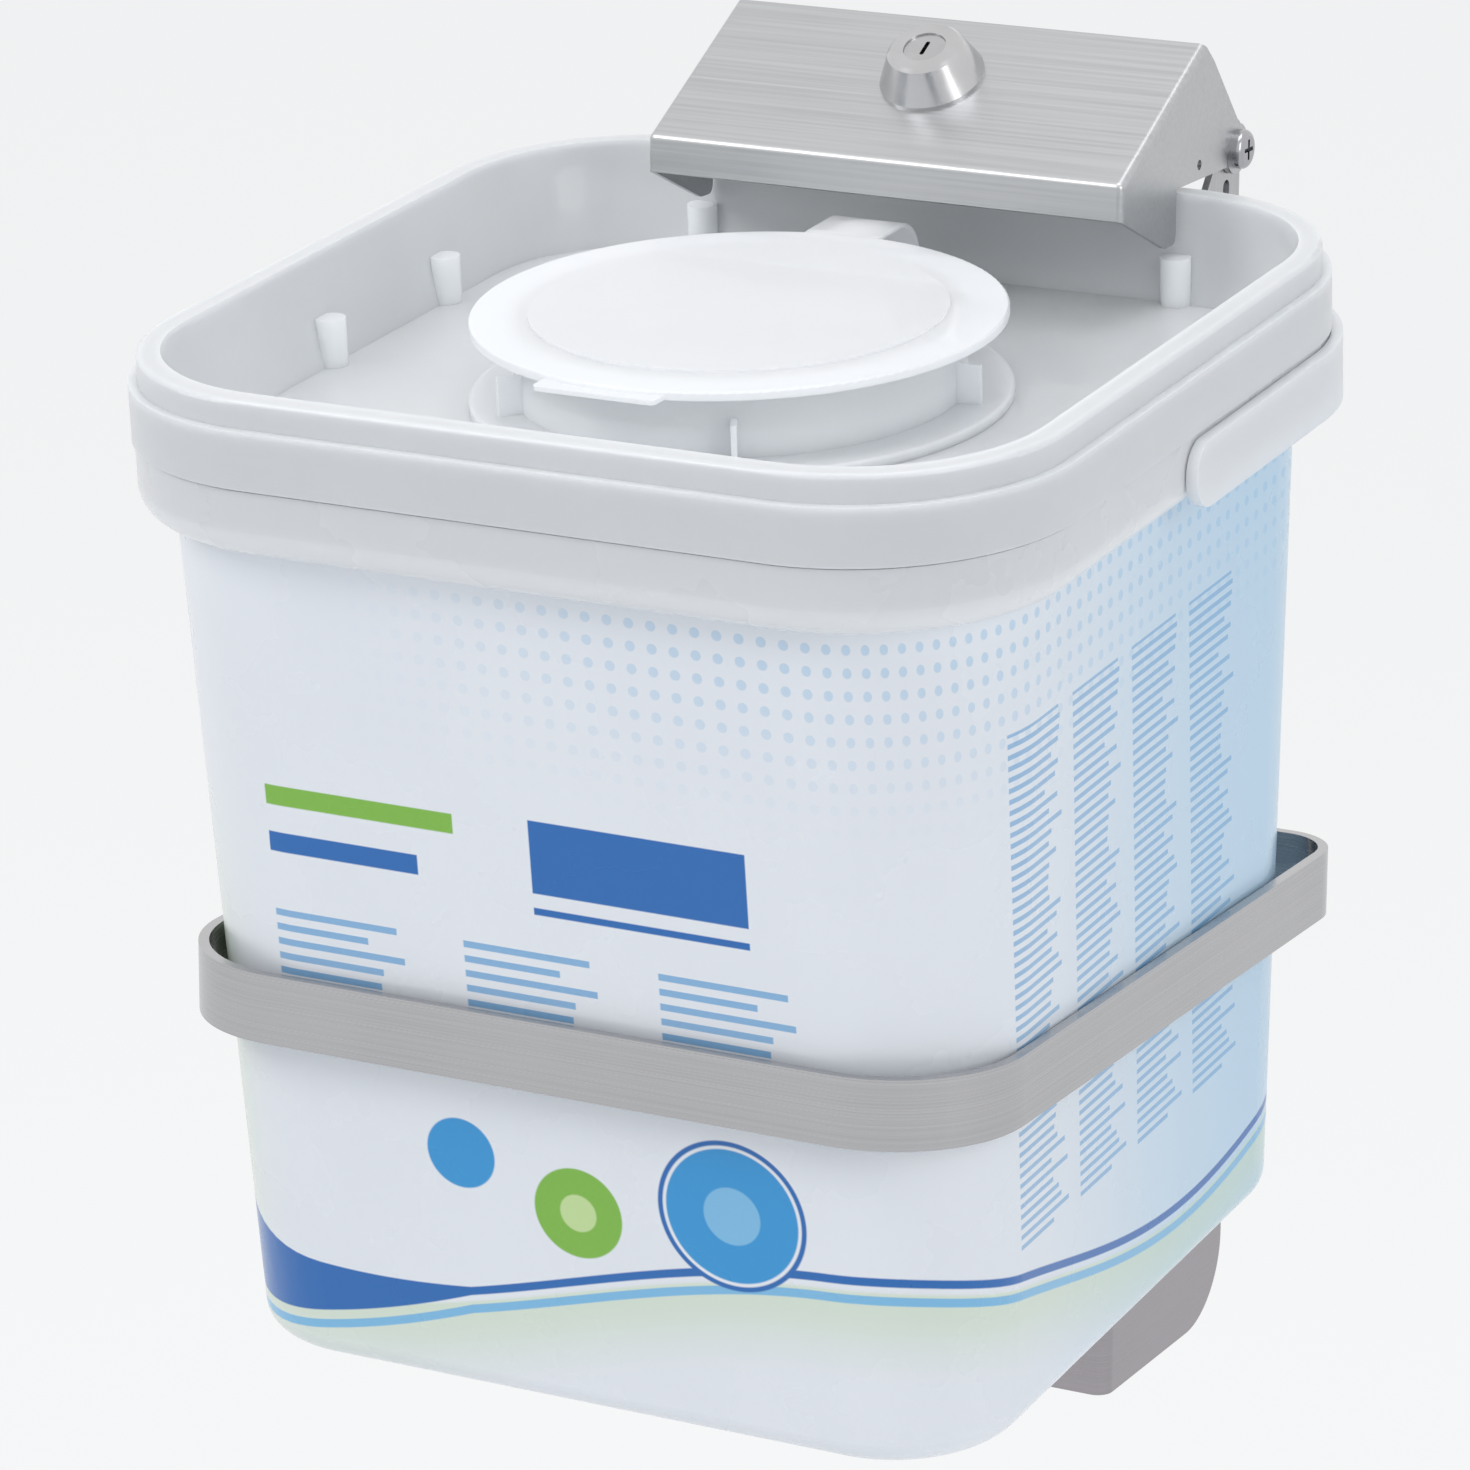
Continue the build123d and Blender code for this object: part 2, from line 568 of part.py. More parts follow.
# Lock plug with its key slot in front and a square for the cam at the far end; it has
# a little end play, so that neither its head nor the cam rubs on the housing
plug_end = -LOCK_BARREL_LENGTH - RUNNING_FIT
head_bottom = seat_height + RUNNING_FIT
cam_face = lock_plane.offset(plug_end - CAM_THICKNESS)
with BuildPart() as lock_plug:
    disc(lock_plane.offset(plug_end), PLUG_CORE_RADIUS, head_bottom - plug_end)
    disc(lock_plane.offset(head_bottom), PLUG_RADIUS, PLUG_HEAD_HEIGHT)
    with BuildSketch(cam_face):
        Rectangle(CAM_SQUARE, CAM_SQUARE)
    extrude(amount=CAM_THICKNESS)
    with BuildSketch(lock_plane.offset(head_bottom + PLUG_HEAD_HEIGHT)):
        SlotOverall(KEY_SLOT_LENGTH, KEY_SLOT_WIDTH, rotation=90)
    extrude(amount=-KEY_SLOT_DEPTH, mode=Mode.SUBTRACT)
    disc(cam_face, CAM_SCREW_RADIUS + RUNNING_FIT, CAM_SCREW_LENGTH, mode=Mode.SUBTRACT)
save(lock_plug.part, "lock_plug")

# Cam on the plug's square end; it points down the panel when the lock is open
with BuildPart() as lock_cam:
    with BuildSketch(cam_face):
        with Locations((0, CAM_WIDTH / 4 - CAM_REACH / 2)):
            SlotOverall(CAM_REACH + CAM_WIDTH / 2, CAM_WIDTH, rotation=90)
        Rectangle(CAM_SQUARE + 2 * RUNNING_FIT, CAM_SQUARE + 2 * RUNNING_FIT, mode=Mode.SUBTRACT)
    extrude(amount=CAM_THICKNESS)
save(lock_cam.part, "lock_cam")

# Screw that holds the cam on the plug
with BuildPart() as cam_screw:
    disc(cam_face.offset(-CAM_SCREW_HEAD_HEIGHT), CAM_SCREW_HEAD_RADIUS, CAM_SCREW_HEAD_HEIGHT)
    disc(cam_face, CAM_SCREW_RADIUS, CAM_SCREW_LENGTH)
save(cam_screw.part, "cam_screw")

# Inside of the bucket's tapered body
with BuildPart() as body_inside:
    tapered_body(BUCKET_WALL, BUCKET_WALL, collar_bottom + BUCKET_WALL)
    fillet(body_inside.faces().sort_by(bucket_axis)[0].edges(), BASE_FILLET - BUCKET_WALL)

# Outside of the collar, with its rounded underside
with BuildPart() as collar:
    rim_prism(collar_size, collar_bottom, collar_top)
    fillet(collar.faces().sort_by(bucket_axis)[0].edges(), COLLAR_FILLET)

# Bucket: tapered square body that steps out to an upright collar, then a plain mouth
collar_shoulder = collar_bottom + COLLAR_FILLET
with BuildPart() as bucket:
    tapered_body(0, 0, collar_bottom)
    fillet(bucket.faces().sort_by(bucket_axis)[0].edges(), BASE_FILLET)
    add(collar.part)
    rim_prism(mouth_size, collar_top, mouth_top)
    add(body_inside.part, mode=Mode.SUBTRACT)
    collar_floor = collar_bottom + BUCKET_WALL
    rim_prism(collar_size - 2 * COLLAR_FILLET, collar_floor, collar_shoulder, mode=Mode.SUBTRACT)
    collar_inside = collar_size - 2 * BUCKET_WALL
    rim_prism(collar_inside, collar_shoulder, collar_top - BUCKET_WALL, mode=Mode.SUBTRACT)
    rim_prism(mouth_inside, collar_shoulder, mouth_top, mode=Mode.SUBTRACT)
    with BuildSketch(bucket_along):
        with Locations((0, handle_level)):
            Circle(HANDLE_PIN_RADIUS + RUNNING_FIT)
    extrude(amount=collar_size, both=True, mode=Mode.SUBTRACT)
save(bucket.part, "bucket")

# Lid tray: a rim turned over the mouth wall, a deep tray with a hole for the neck, and
# stacking lugs round the tray's sides and rear
with BuildPart() as lid_tray:
    rim_prism(skirt_size, skirt_bottom, lid_step)
    rim_prism(bead_size, lid_step, lid_top)
    fillet(lid_tray.faces().sort_by(bucket_axis)[-1].edges(), LID_EDGE_FILLET)
    rim_prism(skirt_size - 2 * LID_WALL, skirt_bottom, lid_step - LID_WALL, mode=Mode.SUBTRACT)
    rim_prism(bead_size - 2 * LID_WALL, skirt_bottom, lid_top - LID_WALL, mode=Mode.SUBTRACT)
    tray_block(LID_WALL, tray_floor - LID_WALL, lid_top - LID_WALL)
    tray_block(0, tray_floor, lid_top, mode=Mode.SUBTRACT)
    lug_half = tray_floor_size / 2
    lug_places = [(x, lug_half) for x in LUG_REAR_X]
    for y in LUG_SIDE_Y:
        lug_places.append((lug_half, y))
        lug_places.append((-lug_half, y))
    with BuildSketch(level(tray_floor - LID_WALL)):
        with Locations(*lug_places):
            Circle(LUG_RADIUS)
    extrude(amount=LUG_HEIGHT + LID_WALL)
    disc(level(tray_floor - LID_WALL), SPIGOT_RADIUS + LOOSE_FIT, TRAY_DEPTH, mode=Mode.SUBTRACT)
save(lid_tray.part, "lid_tray")

# Seal in the rim of the lid, pressed on the top of the mouth wall
seal_outside = bead_size - 2 * LID_WALL - 2 * RUNNING_FIT
seal_inside = tray_mouth_size + 2 * LID_WALL + 2 * RUNNING_FIT
with BuildPart() as lid_seal:
    rim_prism(seal_outside, mouth_top, mouth_top + SEAL_THICKNESS)
    rim_prism(seal_inside, mouth_top, mouth_top + SEAL_THICKNESS, mode=Mode.SUBTRACT)
save(lid_seal.part, "lid_seal")

# Dispensing neck: round flange on the tray floor, ribbed neck, spigot through the hole
spigot_bore = SPIGOT_RADIUS - SPIGOT_WALL
with BuildPart() as dispensing_neck:
    disc(level(tray_floor), FLANGE_RADIUS, FLANGE_THICKNESS)
    fillet(dispensing_neck.edges().group_by(bucket_axis)[-1], FLANGE_THICKNESS / 3)
    disc(level(tray_floor), NECK_RADIUS, NECK_HEIGHT)
    disc(level(tray_floor - SPIGOT_DEPTH), SPIGOT_RADIUS, SPIGOT_DEPTH)
    with BuildSketch(level(flange_top)):
        with PolarLocations(NECK_RADIUS, NECK_RIBS, start_angle=FIRST_RIB_ANGLE):
            Rectangle(2 * NECK_RIB_WIDTH, NECK_RIB_THICKNESS)
    extrude(amount=NECK_HEIGHT / 2)
    disc(level(tray_floor - SPIGOT_DEPTH), spigot_bore, SPIGOT_DEPTH + NECK_HEIGHT, mode=Mode.SUBTRACT)
    disc(level(membrane_bottom), neck_bore, NECK_HEIGHT, mode=Mode.SUBTRACT)
save(dispensing_neck.part, "dispensing_neck")

# Membrane with a pull hole and star slits, seated on the ledge in the neck
with BuildPart() as dispensing_membrane:
    with BuildSketch(level(membrane_bottom)):
        Circle(neck_bore - RUNNING_FIT)
        Circle(MEMBRANE_HOLE_RADIUS, mode=Mode.SUBTRACT)
        with PolarLocations(0, MEMBRANE_SLITS, angular_range=180):
            SlotOverall(MEMBRANE_SLIT_LENGTH, MEMBRANE_SLIT_WIDTH, mode=Mode.SUBTRACT)
    extrude(amount=MEMBRANE_THICKNESS)
save(dispensing_membrane.part, "dispensing_membrane")

# Cap: flat disc with a raised middle, a thumb tab in front and a plug ring below
tab_middle = (TAB_LEFT + TAB_RIGHT) / 2
with BuildPart() as cap:
    disc(level(cap_bottom), CAP_RADIUS, CAP_THICKNESS)
    fillet(cap.edges().group_by(bucket_axis)[-1], CAP_THICKNESS / 4)
    disc(level(cap_bottom + CAP_THICKNESS), CAP_RAISED_RADIUS, CAP_RAISED_HEIGHT)
    with BuildSketch(level(cap_bottom)) as tab_outline:
        with Locations((tab_middle, -CAP_RADIUS)):
            Rectangle(TAB_RIGHT - TAB_LEFT, 2 * TAB_REACH)
        fillet(tab_outline.vertices().group_by(Axis.Y)[0], TAB_REACH / 2)
    extrude(amount=CAP_THICKNESS / 2)
    with BuildSketch(level(cap_bottom)):
        Circle(neck_bore - LOOSE_FIT)
        Circle(neck_bore - LOOSE_FIT - CAP_PLUG_WALL, mode=Mode.SUBTRACT)
    extrude(amount=-CAP_PLUG_DEPTH)
save(cap.part, "cap")

# Strap: leaves the cap's rear edge, curls down and comes back to the flange's edge
strap_top = cap_bottom + CAP_THICKNESS / 2 + STRAP_THICKNESS / 2
strap_bottom = tray_floor + FLANGE_THICKNESS / 2 - STRAP_THICKNESS / 2
strap_curl_y = CAP_RADIUS + STRAP_FLAT
strap_curl_radius = (strap_top - strap_bottom) / 2
strap_middle = (strap_top + strap_bottom) / 2
with BuildPart() as cap_strap:
    with BuildSketch(bucket_along.offset(STRAP_LEFT)):
        for shrink, mode in ((0, Mode.ADD), (STRAP_THICKNESS, Mode.SUBTRACT)):
            with Locations((strap_curl_y, strap_middle)):
                Circle(strap_curl_radius - shrink, mode=mode)
            with Locations((strap_curl_y - STRAP_FLAT, strap_middle)):
                Rectangle(2 * STRAP_FLAT, 2 * (strap_curl_radius - shrink), mode=mode)
    extrude(amount=STRAP_RIGHT - STRAP_LEFT)
    disc(level(tray_floor), FLANGE_RADIUS, FLANGE_THICKNESS, mode=Mode.SUBTRACT)
    disc(level(flange_top), CAP_RADIUS + LOOSE_FIT, NECK_HEIGHT, mode=Mode.SUBTRACT)
save(cap_strap.part, "cap_strap")

# Bail handle: a band round the rear of the collar with a pivot pin at each end
handle_bottom = handle_level - HANDLE_HEIGHT / 2
with BuildPart() as bail_handle:
    rim_prism(handle_outside, handle_bottom, handle_bottom + HANDLE_HEIGHT)
    rim_prism(handle_inside, handle_bottom, handle_bottom + HANDLE_HEIGHT, mode=Mode.SUBTRACT)
    with BuildSketch(level(handle_bottom)):
        with Locations((0, -handle_outside / 2 - HANDLE_HEIGHT / 2)):
            Rectangle(2 * handle_outside, handle_outside)
    extrude(amount=HANDLE_HEIGHT, mode=Mode.SUBTRACT)
    end_edges = bail_handle.edges().filter_by(Axis.X).group_by(Axis.Y)[0:2]
    fillet(end_edges[0] + end_edges[1], HANDLE_HEIGHT / 2 - LOOSE_FIT)
    for side in (1, -1):
        pin_plane = Plane(
            origin=bucket_plane.from_local_coords((side * handle_inside / 2, 0, handle_level)),
            x_dir=bucket_plane.y_dir,
            z_dir=(-side, 0, 0),
        )
        disc(pin_plane, HANDLE_PIN_RADIUS, BUCKET_WALL + HANDLE_GAP)
save(bail_handle.part, "bail_handle")

# Roll of wipes on the bucket's floor, pulled from its hollow middle
with BuildPart() as wipes_roll:
    disc(level(BUCKET_WALL), ROLL_RADIUS, ROLL_HEIGHT)
    disc(level(BUCKET_WALL), ROLL_CORE_RADIUS, ROLL_HEIGHT, mode=Mode.SUBTRACT)
save(wipes_roll.part, "wipes_roll")

# Leading wipe: drawn up from the roll, pinched by the membrane's hole
tail_bottom = BUCKET_WALL + ROLL_HEIGHT * 0.8
tail_pinch = membrane_bottom + MEMBRANE_THICKNESS / 2
tail_top = neck_top - 1
pinch_half = MEMBRANE_HOLE_RADIUS - 2 * RUNNING_FIT
with BuildPart() as wipe_tail:
    with BuildSketch(bucket_across):
        with BuildLine():
            Polyline(
                (-ROLL_CORE_RADIUS / 2, tail_bottom),
                (ROLL_CORE_RADIUS / 2, tail_bottom),
                (pinch_half, tail_pinch - MEMBRANE_THICKNESS),
                (pinch_half, tail_pinch + MEMBRANE_THICKNESS),
                (2 * pinch_half, tail_top),
                (-2 * pinch_half, tail_top),
                (-pinch_half, tail_pinch + MEMBRANE_THICKNESS),
                (-pinch_half, tail_pinch - MEMBRANE_THICKNESS),
                close=True,
            )
        make_face()
    extrude(amount=TAIL_THICKNESS / 2, both=True)
save(wipe_tail.part, "wipe_tail")
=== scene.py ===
from math import cos, radians, sin

import bpy
from mathutils import Euler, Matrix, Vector


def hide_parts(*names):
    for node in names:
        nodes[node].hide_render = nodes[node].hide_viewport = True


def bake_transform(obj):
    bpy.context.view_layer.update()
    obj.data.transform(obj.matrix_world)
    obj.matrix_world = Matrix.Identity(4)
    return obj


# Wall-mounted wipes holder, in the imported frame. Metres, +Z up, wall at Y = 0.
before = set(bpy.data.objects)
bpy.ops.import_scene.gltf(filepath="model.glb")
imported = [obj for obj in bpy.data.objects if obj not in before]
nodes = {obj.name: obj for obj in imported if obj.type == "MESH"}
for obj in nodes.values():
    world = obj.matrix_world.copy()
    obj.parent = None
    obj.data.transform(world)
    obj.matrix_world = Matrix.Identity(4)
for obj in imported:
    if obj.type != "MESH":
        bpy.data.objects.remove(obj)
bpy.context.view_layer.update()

# The bucket's own leaning frame, in metres
BUCKET_TILT = radians(5)
BUCKET_Y = -0.15302
BUCKET_Z = -0.1345
BASE_HALF = 0.117
TAPER = 0.0115 / 0.246
COLLAR_BOTTOM = 0.246

# Thickest half of the blue band on the wrap, in millimetres
BAND_LIMIT = 15.0

# Camera at the angle of the photograph
CAMERA_AZIMUTH = radians(27.59)
CAMERA_ELEVATION = radians(16.35)
CAMERA_ROLL = radians(0.28)
CAMERA_DISTANCE = 1.8915
CAMERA_TARGET = Vector((-0.0070, -0.1656, 0.0228))
CAMERA_LENS = 162.96


class Shader:
    """A material's node tree, with short ways to build the values it is made of."""

    def __init__(self, name):
        self.material = bpy.data.materials.new(name)
        self.material.use_nodes = True
        self.tree = self.material.node_tree
        self.principled = self.tree.nodes["Principled BSDF"]

    def node(self, kind, **settings):
        made = self.tree.nodes.new(kind)
        for key, value in settings.items():
            setattr(made, key, value)
        return made

    def feed(self, socket, value):
        if isinstance(value, bpy.types.NodeSocket):
            self.tree.links.new(value, socket)
        elif isinstance(value, tuple) and len(value) == 3 and socket.type == "RGBA":
            socket.default_value = value + (1.0,)
        else:
            socket.default_value = value

    def math(self, operation, *values):
        made = self.node("ShaderNodeMath", operation=operation)
        for socket, value in zip(made.inputs, values):
            self.feed(socket, value)
        return made.outputs[0]

    def mix(self, share, first, second):
        made = self.node("ShaderNodeMix", data_type="RGBA")
        self.feed(made.inputs[0], share)
        self.feed(made.inputs[6], first)
        self.feed(made.inputs[7], second)
        return made.outputs[2]

    def ramp(self, value, low, high, low_result=0.0, high_result=1.0):
        made = self.node("ShaderNodeMapRange", interpolation_type="SMOOTHSTEP")
        for index, given in enumerate((value, low, high, low_result, high_result)):
            self.feed(made.inputs[index], given)
        return made.outputs[0]

    def position(self):
        return self.node("ShaderNodeTexCoord").outputs["Object"]

    def stretched(self, scale):
        made = self.node("ShaderNodeMapping")
        self.feed(made.inputs["Vector"], self.position())
        made.inputs["Scale"].default_value = scale
        return made.outputs[0]

    def noise(self, vector, scale, detail=3.0, roughness=0.5):
        made = self.node("ShaderNodeTexNoise")
        self.feed(made.inputs["Vector"], vector)
        made.inputs["Scale"].default_value = scale
        made.inputs["Detail"].default_value = detail
        made.inputs["Roughness"].default_value = roughness
        return made.outputs[0]

    def bump(self, height, strength, distance):
        made = self.node("ShaderNodeBump")
        made.inputs["Strength"].default_value = strength
        made.inputs["Distance"].default_value = distance
        self.feed(made.inputs["Height"], height)
        self.feed(self.principled.inputs["Normal"], made.outputs[0])

    def set(self, **values):
        for key, value in values.items():
            self.feed(self.principled.inputs[key.replace("_", " ")], value)


# Brushed stainless sheet: fine streaks along one direction and soft cloudiness
def brushed_steel(name, streak_scale, colour=(0.46, 0.46, 0.47), roughness=0.3):
    shade = Shader(name)
    streaks = shade.noise(shade.stretched(streak_scale), 1.0, 4.0, 0.6)
    clouds = shade.noise(shade.position(), 26.0)
    light = tuple(min(1.0, part * 1.07) for part in colour)
    dark = tuple(part * 0.93 for part in colour)
    grain = shade.mix(shade.ramp(streaks, 0.3, 0.7), dark, light)
    cloudy = shade.mix(shade.ramp(clouds, 0.35, 0.7, 0.0, 0.35), grain, light)
    shade.set(Metallic=1.0, Base_Color=cloudy)
    shade.set(Roughness=shade.ramp(streaks, 0.2, 0.8, roughness - 0.06, roughness + 0.08))
    shade.bump(streaks, 0.25, 0.0001)
    return shade.material


# Bright plated metal with faint handling haze
def plated(name, colour=(0.58, 0.58, 0.59), roughness=0.12):
    shade = Shader(name)
    haze = shade.noise(shade.position(), 120.0, 5.0)
    dark = tuple(part * 0.86 for part in colour)
    shade.set(Metallic=1.0, Base_Color=shade.mix(haze, dark, colour))
    shade.set(Roughness=shade.ramp(haze, 0.3, 0.7, roughness, roughness + 0.1))
    return shade.material


# Translucent moulded plastic with a faint mottle and a soft sheen
def moulded_plastic(name, colour, depth=0.012, weight=0.6, roughness=0.3):
    shade = Shader(name)
    mottle = shade.noise(shade.position(), 22.0, 4.0)
    ripple = shade.noise(shade.position(), 260.0, 2.0)
    shaded = tuple(part * 0.975 for part in colour)
    shade.set(Base_Color=shade.mix(shade.ramp(mottle, 0.35, 0.65), shaded, colour))
    shade.set(Roughness=shade.ramp(mottle, 0.3, 0.7, roughness, roughness + 0.1))
    shade.set(Subsurface_Weight=weight, Subsurface_Scale=depth, Coat_Weight=0.25)
    shade.principled.inputs["Subsurface Radius"].default_value = (1.0, 1.0, 1.0)
    shade.bump(ripple, 0.06, 0.0003)
    return shade.material


# Non-woven cloth of the wipes
def wipe_cloth():
    shade = Shader("wipe_cloth")
    fibres = shade.noise(shade.stretched((900.0, 900.0, 240.0)), 1.0, 4.0)
    shade.set(Base_Color=shade.mix(fibres, (0.84, 0.85, 0.85), (0.95, 0.95, 0.94)))
    shade.set(Roughness=0.9)
    shade.bump(fibres, 0.4, 0.0004)
    return shade.material


# Coordinates on the printed wrap of the bucket, in millimetres: along runs round the
# front and both sides from the middle of the front, up rises from the base
def wrap_coordinates(shade):
    turned = shade.node("ShaderNodeMapping", vector_type="TEXTURE")
    shade.feed(turned.inputs["Vector"], shade.position())
    turned.inputs["Location"].default_value = (0.0, BUCKET_Y, BUCKET_Z)
    turned.inputs["Rotation"].default_value = (BUCKET_TILT, 0.0, 0.0)
    split = shade.node("ShaderNodeSeparateXYZ")
    shade.feed(split.inputs[0], turned.outputs[0])
    across, back, up = split.outputs
    half_width = shade.math("MULTIPLY_ADD", up, TAPER, BASE_HALF)
    behind_front = shade.math("ADD", back, half_width)
    along = shade.math("MULTIPLY_ADD", shade.math("SIGN", across), behind_front, across)
    return shade.math("MULTIPLY", along, 1000.0), shade.math("MULTIPLY", up, 1000.0)


# Distance from a point, given how far to the side and how far up it is
def distance(shade, side, rise):
    side_squared = shade.math("MULTIPLY", side, side)
    rise_squared = shade.math("MULTIPLY", rise, rise)
    return shade.math("SQRT", shade.math("ADD", side_squared, rise_squared))


# Share of a soft-edged disc, bar or line drawn on the wrap
def disc_share(shade, along, up, centre, radius, edge=0.7):
    side = shade.math("SUBTRACT", along, centre[0])
    rise = shade.math("SUBTRACT", up, centre[1])
    return shade.ramp(distance(shade, side, rise), radius - edge, radius, 1.0, 0.0)


def bar_share(shade, along, up, centre, half_size, edge=0.5):
    side = shade.math("ABSOLUTE", shade.math("SUBTRACT", along, centre[0]))
    rise = shade.math("ABSOLUTE", shade.math("SUBTRACT", up, centre[1]))
    wide = shade.ramp(side, half_size[0] - edge, half_size[0], 1.0, 0.0)
    tall = shade.ramp(rise, half_size[1] - edge, half_size[1], 1.0, 0.0)
    return shade.math("MULTIPLY", wide, tall)


def line_share(shade, distance, thickness):
    return shade.ramp(shade.math("ABSOLUTE", distance), thickness / 2, thickness / 2 + 0.5, 1.0, 0.0)


# A column of short plain rules of uneven length
def rule_column(shade, along, up, left, width, middle, half_height, pitch):
    row = shade.math("FLOOR", shade.math("DIVIDE", up, pitch))
    scattered = shade.math("SINE", shade.math("MULTIPLY", row, 12.9))
    ragged = shade.math("FRACT", shade.math("MULTIPLY", scattered, 43.7))
    reach = shade.math("MULTIPLY_ADD", ragged, -0.35 * width, width)
    from_left = shade.math("SUBTRACT", along, left)
    started = shade.ramp(from_left, 0.0, 0.5)
    ended = shade.ramp(shade.math("SUBTRACT", from_left, reach), -0.5, 0.0, 1.0, 0.0)
    in_row = shade.math("PINGPONG", up, pitch / 2)
    drawn = shade.ramp(in_row, pitch * 0.24, pitch * 0.30)
    from_middle = shade.math("ABSOLUTE", shade.math("SUBTRACT", up, middle))
    inside = shade.ramp(from_middle, half_height - 0.3, half_height, 1.0, 0.0)
    both = shade.math("MULTIPLY", started, ended)
    return shade.math("MULTIPLY", shade.math("MULTIPLY", both, drawn), inside)


# Bucket: translucent body with a printed wrap of plain waves, dots, rules and discs
def printed_bucket():
    shade = Shader("printed_bucket")
    along, up = wrap_coordinates(shade)
    mottle = shade.noise(shade.position(), 22.0, 4.0)
    white = (0.90, 0.93, 0.97)
    blue = (0.0, 0.14, 0.48)
    sky = (0.22, 0.54, 0.84)
    pale_green = (0.62, 0.78, 0.48)
    green = (0.22, 0.52, 0.05)

    colour = shade.mix(shade.ramp(mottle, 0.35, 0.65), (0.88, 0.91, 0.955), white)
    side_tint = shade.ramp(along, 130.0, 320.0, 0.0, 0.75)
    colour = shade.mix(side_tint, colour, (0.42, 0.70, 0.93))

    swell = shade.math("SINE", shade.math("DIVIDE", along, 58.0))
    crest = shade.math("MULTIPLY_ADD", swell, 17.0, 40.0)
    above = shade.math("SUBTRACT", up, crest)
    meadow_rise = shade.ramp(above, -34.0, -4.0)
    meadow_top = shade.ramp(above, -4.0, -2.5, 1.0, 0.0)
    meadow = shade.math("MULTIPLY", meadow_rise, meadow_top)
    colour = shade.mix(shade.math("MULTIPLY", meadow, 0.55), colour, pale_green)
    left_edge = shade.ramp(along, -150.0, -92.0, 0.75, 0.0)
    left_band = shade.math("MULTIPLY", left_edge, shade.ramp(up, 95.0, 185.0, 1.0, 0.0))
    colour = shade.mix(left_band, colour, pale_green)
    wedge = shade.math("MULTIPLY_ADD", along, -0.10, -2.0)
    thick = shade.math("MAXIMUM", shade.math("MULTIPLY", wedge, 1.3), 1.6)
    thick = shade.math("MINIMUM", thick, BAND_LIMIT)
    over_thick = shade.math("SUBTRACT", shade.math("ABSOLUTE", above), thick)
    colour = shade.mix(shade.ramp(over_thick, -0.6, 0.0, 1.0, 0.0), colour, blue)
    second = shade.math("SUBTRACT", above, shade.math("MULTIPLY_ADD", thick, -1.0, -4.0))
    colour = shade.mix(line_share(shade, second, 2.2), colour, sky)

    pitch = 6.5
    dot_side = shade.math("PINGPONG", along, pitch / 2)
    dot_rise = shade.math("PINGPONG", up, pitch / 2)
    dots = shade.ramp(distance(shade, dot_side, dot_rise), 1.3, 1.7, 1.0, 0.0)
    dot_zone = shade.math("MULTIPLY", shade.ramp(up, 180.0, 236.0), shade.ramp(along, -70.0, 60.0))
    faint_dots = shade.math("MULTIPLY", shade.math("MULTIPLY", dots, dot_zone), 0.42)
    colour = shade.mix(faint_dots, colour, sky)

    colour = shade.mix(bar_share(shade, along, up, (30.0, 168.0), (33.0, 11.0)), colour, blue)
    colour = shade.mix(bar_share(shade, along, up, (30.0, 152.0), (33.0, 1.3)), colour, blue)
    colour = shade.mix(bar_share(shade, along, up, (-56.0, 174.0), (30.0, 3.2)), colour, green)
    colour = shade.mix(bar_share(shade, along, up, (-62.0, 160.0), (24.0, 3.2)), colour, blue)
    for left in (-86.0, -26.0, 34.0):
        column = rule_column(shade, along, up, left, 44.0, 128.0, 13.0, 4.4)
        colour = shade.mix(shade.math("MULTIPLY", column, 0.8), colour, (0.10, 0.38, 0.72))
    for left in (158.0, 196.0, 234.0, 272.0):
        column = rule_column(shade, along, up, left, 31.0, 132.0, 78.0, 3.2)
        colour = shade.mix(shade.math("MULTIPLY", column, 0.7), colour, (0.10, 0.38, 0.72))

    big = (52.0, 70.0)
    colour = shade.mix(disc_share(shade, along, up, big, 23.0), colour, blue)
    colour = shade.mix(disc_share(shade, along, up, big, 21.5), colour, white)
    colour = shade.mix(disc_share(shade, along, up, big, 20.5), colour, (0.02, 0.32, 0.72))
    colour = shade.mix(disc_share(shade, along, up, big, 9.0), colour, sky)
    colour = shade.mix(disc_share(shade, along, up, (4.0, 62.0), 14.0), colour, green)
    colour = shade.mix(disc_share(shade, along, up, (4.0, 62.0), 6.0), colour, (0.60, 0.80, 0.35))
    colour = shade.mix(disc_share(shade, along, up, (-32.0, 74.0), 11.0), colour, (0.02, 0.32, 0.72))

    printed = shade.ramp(up, COLLAR_BOTTOM * 1000 - 1.0, COLLAR_BOTTOM * 1000, 1.0, 0.0)
    rim = shade.mix(shade.ramp(mottle, 0.35, 0.65), (0.89, 0.91, 0.93), (0.92, 0.935, 0.95))
    shade.set(Base_Color=shade.mix(printed, rim, colour))
    shade.set(Roughness=shade.ramp(mottle, 0.3, 0.7, 0.22, 0.32))
    shade.set(Subsurface_Weight=shade.ramp(printed, 0.0, 1.0, 0.6, 0.12))
    shade.set(Subsurface_Scale=0.01)
    shade.principled.inputs["Subsurface Radius"].default_value = (1.0, 1.0, 1.0)
    shade.set(Coat_Weight=0.3)
    return shade.material


def dress(names, material):
    """Gives the named pieces one material."""
    for name in names:
        nodes[name].data.materials.clear()
        nodes[name].data.materials.append(material)


def soften(names, width):
    """Rounds the sharp edges of the named pieces a little."""
    for name in names:
        bevel = nodes[name].modifiers.new("edges", "BEVEL")
        bevel.width = width
        bevel.segments = 2
        bevel.limit_method = "ANGLE"
        bevel.angle_limit = radians(50)


